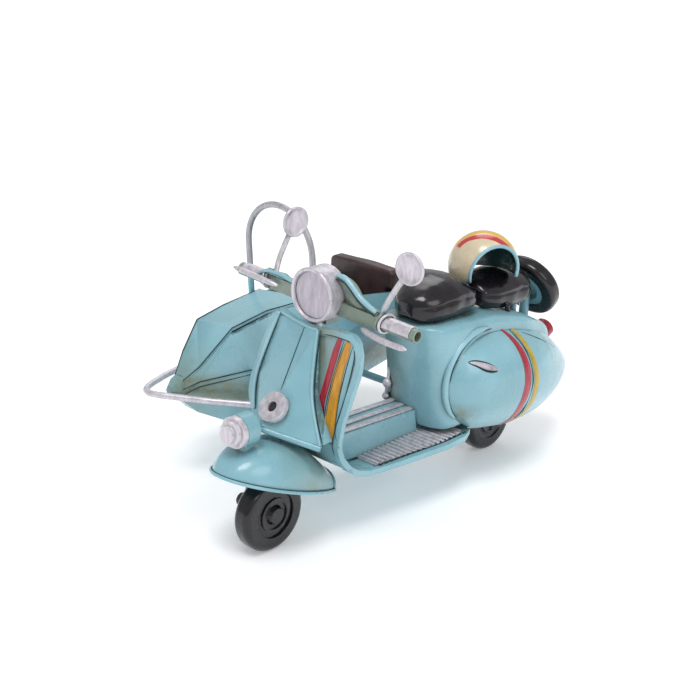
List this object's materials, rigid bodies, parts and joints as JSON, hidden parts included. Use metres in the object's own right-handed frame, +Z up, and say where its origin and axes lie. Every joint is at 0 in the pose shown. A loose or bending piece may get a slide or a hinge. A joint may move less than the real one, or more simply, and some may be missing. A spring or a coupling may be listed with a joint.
{
  "type": "toy scooter with sidecar",
  "caption": "Tin toy scooter with a boat-shaped sidecar, free-rolling wheels, turning handlebar, hooped windscreen, spare wheel and helmet.",
  "frame": {"origin": "middle of the model's outline in plan, on the surface that its three wheels stand on", "axes": "+Z up; the scooter drives towards -Y; its left side is +X and the sidecar is on its right, towards -X"},
  "size_m": [0.0918, 0.129, 0.0758],
  "materials": {
    "aqua": "gloss, with darker creases",
    "silver": "brushed silver paint",
    "dark_metal": "dull",
    "black": "high gloss",
    "brown": "satin",
    "cream": "gloss, with a red and a yellow stripe",
    "red": "gloss",
    "lens_grey": "satin"
  },
  "bodies": {
    "frame": {"leg_shield": "aqua", "shield_rim": "aqua", "front_cover": "aqua", "cover_bead": "aqua", "horn_ring": "silver", "horn_disc": "dark_metal", "head_tube": "aqua", "floor_mat_left": "silver", "floor_mat_right": "brown", "tunnel": "aqua", "tunnel_strips": "silver", "rear_body": "aqua", "left_cowl": "aqua", "right_panel": "aqua", "cowl_badge": "silver", "tail_light": "red", "rear_brackets": "dark_metal", "rear_axle": "dark_metal", "body_knobs": "silver", "front_saddle": "black", "saddle_post": "dark_metal", "pillion_saddle": "black", "pillion_posts": "aqua", "helmet": "cream", "spare_carrier": "aqua", "spare_tyre": "black", "spare_disc": "aqua", "strut_front": "aqua", "strut_rear": "aqua", "sidecar_hull": "aqua", "sidecar_deck": "aqua", "sidecar_tail": "aqua", "nose_cap": "aqua", "bumper_wire": "silver", "windscreen_wire": "silver", "seat_back": "brown", "seat_cushion": "brown", "side_wheel_bracket": "dark_metal", "side_axle": "dark_metal", "side_mudguard": "aqua"},
    "steering": {"steering_column": "silver", "fork_leg": "dark_metal", "front_axle": "dark_metal", "front_fender": "aqua", "fender_lamp": "aqua", "fender_lamp_lens": "silver", "headlight_bowl": "silver", "headlight_lens": "lens_grey", "handlebar": "aqua", "left_grip": "silver", "right_grip": "silver", "left_lever": "silver", "right_lever": "silver", "left_mirror": "silver", "right_mirror": "silver"},
    "front_wheel": {"front_tyre": "black", "front_wheel_disc": "black"},
    "rear_wheel": {"rear_wheel": "black"},
    "side_wheel": {"side_wheel": "black"}
  },
  "joints": [
    {"name": "steering_turn", "type": "hinge", "parent": "frame", "child": "steering", "pos_m": [0.01534, -0.04926, 0.0094], "axis": [0, 0.3502, 0.9367], "range_deg": [-35, 35]},
    {"name": "front_wheel_spin", "type": "hinge", "parent": "steering", "child": "front_wheel", "pos_m": [0.01634, -0.04926, 0.0094], "axis": [1, 0, 0], "continuous": true},
    {"name": "rear_wheel_spin", "type": "hinge", "parent": "frame", "child": "rear_wheel", "pos_m": [0.01634, 0.03474, 0.0094], "axis": [1, 0, 0], "continuous": true},
    {"name": "side_wheel_spin", "type": "hinge", "parent": "frame", "child": "side_wheel", "pos_m": [-0.04266, 0.01674, 0.0094], "axis": [1, 0, 0], "continuous": true}
  ]
}
